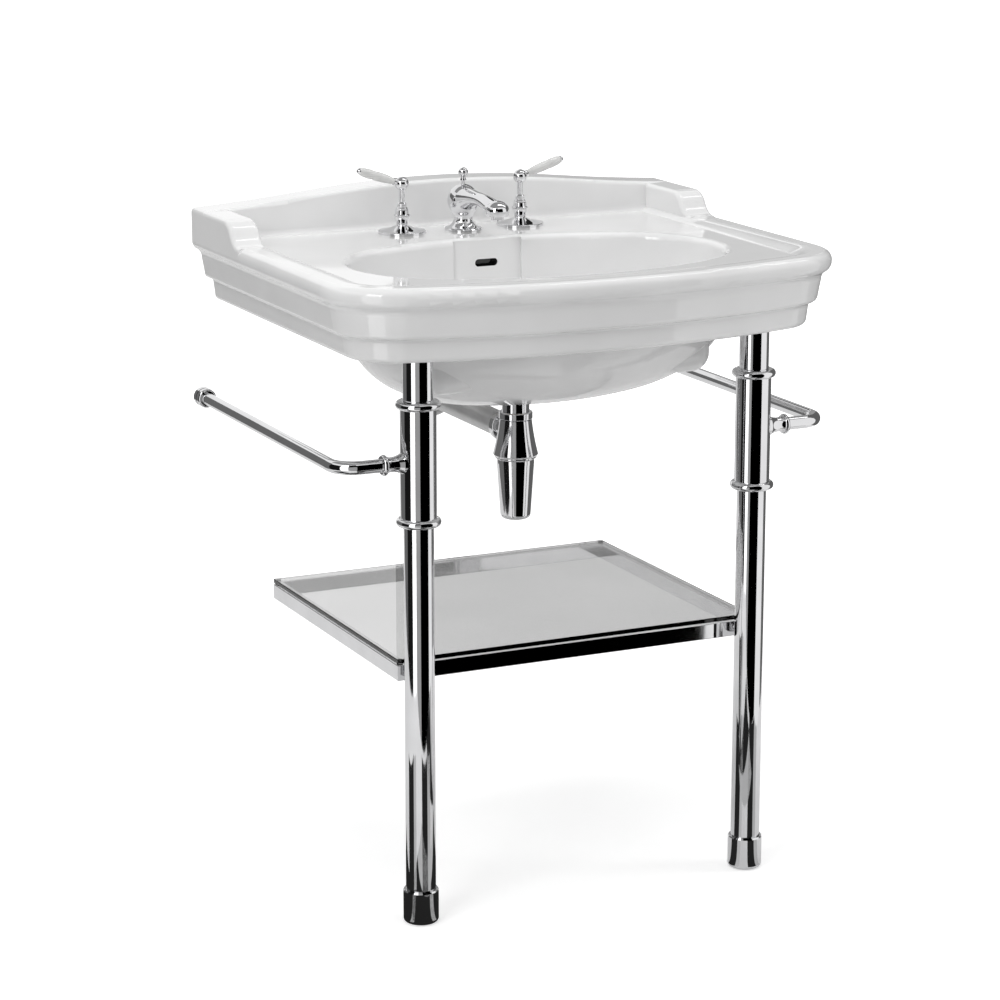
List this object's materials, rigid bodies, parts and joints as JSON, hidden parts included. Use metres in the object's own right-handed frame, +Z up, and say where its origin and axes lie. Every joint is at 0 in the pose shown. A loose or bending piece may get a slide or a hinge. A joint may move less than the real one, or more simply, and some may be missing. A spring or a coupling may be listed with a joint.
{
  "type": "console sink",
  "caption": "Ceramic console basin with moulded apron on two round metal legs, with towel rails, glass shelf, lever taps, spout, pop-up waste and bottle trap.",
  "frame": {"origin": "on the floor, in the middle of the whole part's width and depth; the wall's face is the plane Y = +0.295", "axes": "+X along the wall to the right of someone who stands at the basin, +Y into the wall, +Z up"},
  "size_m": [0.706, 0.5899, 0.9098],
  "materials": {
    "white_ceramic": "high gloss glaze",
    "lever_porcelain": "high gloss glaze",
    "chrome": "mirror polish",
    "plain_brass": "as machined",
    "clear_glass": "clear, polished edges",
    "rubber": "matt"
  },
  "bodies": {
    "console": {"aerator": "chrome", "basin": "white_ceramic", "foot_pads": "rubber", "left_foot_cup": "chrome", "left_leg_sleeve": "chrome", "left_leg_tube": "chrome", "left_lower_ring": "chrome", "left_rail_union": "chrome", "left_rail_wall_cap": "chrome", "left_towel_rail": "chrome", "left_upper_ring": "chrome", "left_valve_body": "plain_brass", "left_valve_bonnet": "chrome", "left_valve_flange": "chrome", "leg_top_studs": "plain_brass", "link_pipes": "plain_brass", "outlet_escutcheon": "chrome", "outlet_nut": "chrome", "outlet_pipe": "chrome", "pivot_nut": "chrome", "right_foot_cup": "chrome", "right_leg_sleeve": "chrome", "right_leg_tube": "chrome", "right_lower_ring": "chrome", "right_rail_union": "chrome", "right_rail_wall_cap": "chrome", "right_towel_rail": "chrome", "right_upper_ring": "chrome", "right_valve_body": "plain_brass", "right_valve_bonnet": "chrome", "right_valve_flange": "chrome", "shelf_bumpers": "rubber", "shelf_frame": "chrome", "shelf_front_stubs": "chrome", "shelf_glass": "clear_glass", "shelf_wall_pegs": "chrome", "spout_body": "chrome", "spout_nut": "plain_brass", "spout_shank": "plain_brass", "trap_body": "chrome", "trap_cup": "chrome", "trap_dip_tube": "plain_brass", "trap_top_nut": "chrome", "valve_nuts": "plain_brass", "waste_body": "chrome", "waste_nut": "plain_brass", "waste_washer": "rubber"},
    "left_lever": {"left_lever_stem": "chrome", "left_lever_spindle": "chrome", "left_lever_grip": "lever_porcelain"},
    "right_lever": {"right_lever_stem": "chrome", "right_lever_spindle": "chrome", "right_lever_grip": "lever_porcelain"},
    "lift": {"lift_rod": "chrome", "lift_knob": "chrome", "lift_strap": "chrome"},
    "pivot": {"pivot_rod": "chrome"},
    "plug_assembly": {"plug": "chrome"}
  },
  "joints": [
    {"name": "left_lever_turn", "type": "hinge", "parent": "console", "child": "left_lever", "pos_m": [-0.0875, 0.196, 0.8856], "axis": [0, 0, 1], "range_deg": [0, 90]},
    {"name": "right_lever_turn", "type": "hinge", "parent": "console", "child": "right_lever", "pos_m": [0.0875, 0.196, 0.8856], "axis": [0, 0, 1], "range_deg": [-90, 0]},
    {"name": "lift_slide", "type": "slide", "parent": "console", "child": "lift", "axis": [0, 0, 1], "range_m": [0, 0.03]},
    {"name": "pivot_swing", "type": "hinge", "parent": "console", "child": "pivot", "pos_m": [0, 0.049, 0.617], "axis": [1, 0, 0], "range_deg": [0, 12.2]},
    {"name": "plug_slide", "type": "slide", "parent": "console", "child": "plug_assembly", "axis": [0, 0, 1], "range_m": [-0.0046, 0]}
  ],
  "couplings": [
    {"joint": "pivot_swing", "follows": "lift_slide", "rad_per_m": 7.0279},
    {"joint": "plug_slide", "follows": "lift_slide", "ratio": -0.15}
  ]
}
